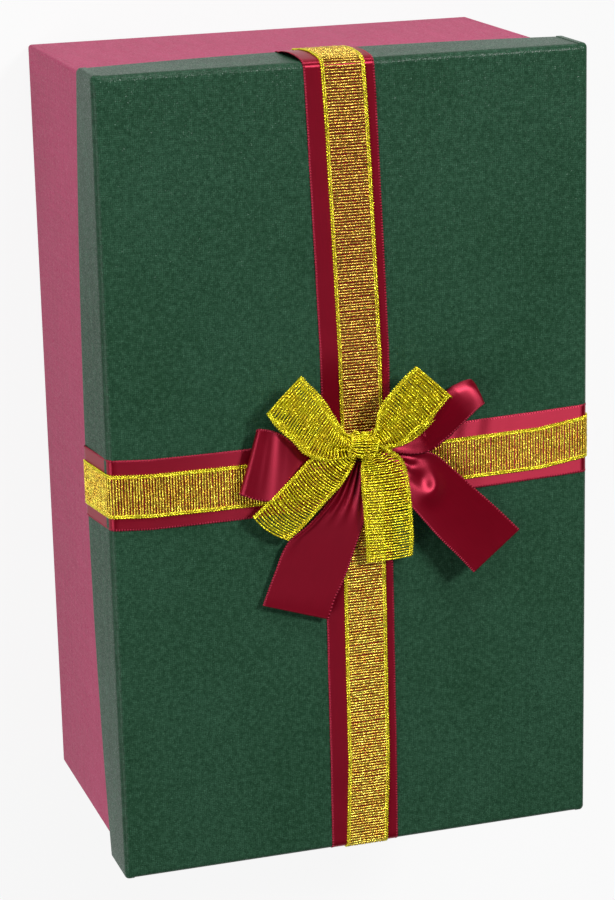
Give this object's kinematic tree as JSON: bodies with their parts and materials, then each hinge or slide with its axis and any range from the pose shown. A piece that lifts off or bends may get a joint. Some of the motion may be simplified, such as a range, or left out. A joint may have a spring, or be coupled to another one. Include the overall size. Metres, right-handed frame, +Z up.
{
  "type": "gift box",
  "caption": "Rectangular two-part rigid gift box with a lift-off lid, crossed double ribbon bands and a double ribbon bow on the lid.",
  "frame": {"origin": "Centre of the closed box's footprint, on the base's underside.", "axes": "+Z up through the lid, the way the lid lifts; +Y along the box's long side; +X across it. The bow's tails hang towards -Y."},
  "size_m": [0.18, 0.291, 0.131],
  "materials": {
    "greyboard": "matte recycled board",
    "stay_paper": "matte brown gummed paper",
    "burgundy_paper": "pearlescent paper with a fine linen emboss",
    "green_paper": "pearlescent dark green paper with a fine linen emboss and glitter specks",
    "lining_paper": "matte uncoated paper",
    "red_satin": "satin ribbon with a woven edge",
    "gold_ribbon": "open corded metallic gold ribbon",
    "glue": "dried hot-melt glue",
    "thread": "matte sewing thread"
  },
  "bodies": {
    "base": {"base_board": "greyboard", "base_corner_stays": "stay_paper", "base_wrap": "burgundy_paper", "base_floor_liner": "lining_paper", "base_wall_liner": "lining_paper"},
    "lid": {"lid_board": "greyboard", "lid_corner_stays": "stay_paper", "lid_wrap": "green_paper", "lid_liner": "lining_paper", "cross_band_red": "red_satin", "cross_band_gold": "gold_ribbon", "long_band_red": "red_satin", "long_band_gold": "gold_ribbon", "band_end_glue": "glue", "bow_glue_pad": "glue", "red_waist": "red_satin", "waist_thread": "thread", "red_tail_left": "red_satin", "red_tail_right": "red_satin", "red_loop_left": "red_satin", "red_loop_right": "red_satin", "gold_knot": "gold_ribbon", "gold_tail_left": "gold_ribbon", "gold_tail_right": "gold_ribbon", "gold_loop_left": "gold_ribbon", "gold_loop_right": "gold_ribbon"}
  },
  "joints": [
    {"name": "lid_lift", "type": "slide", "parent": "base", "child": "lid", "axis": [0, 0, 1], "range_m": [0, 0.15]}
  ]
}
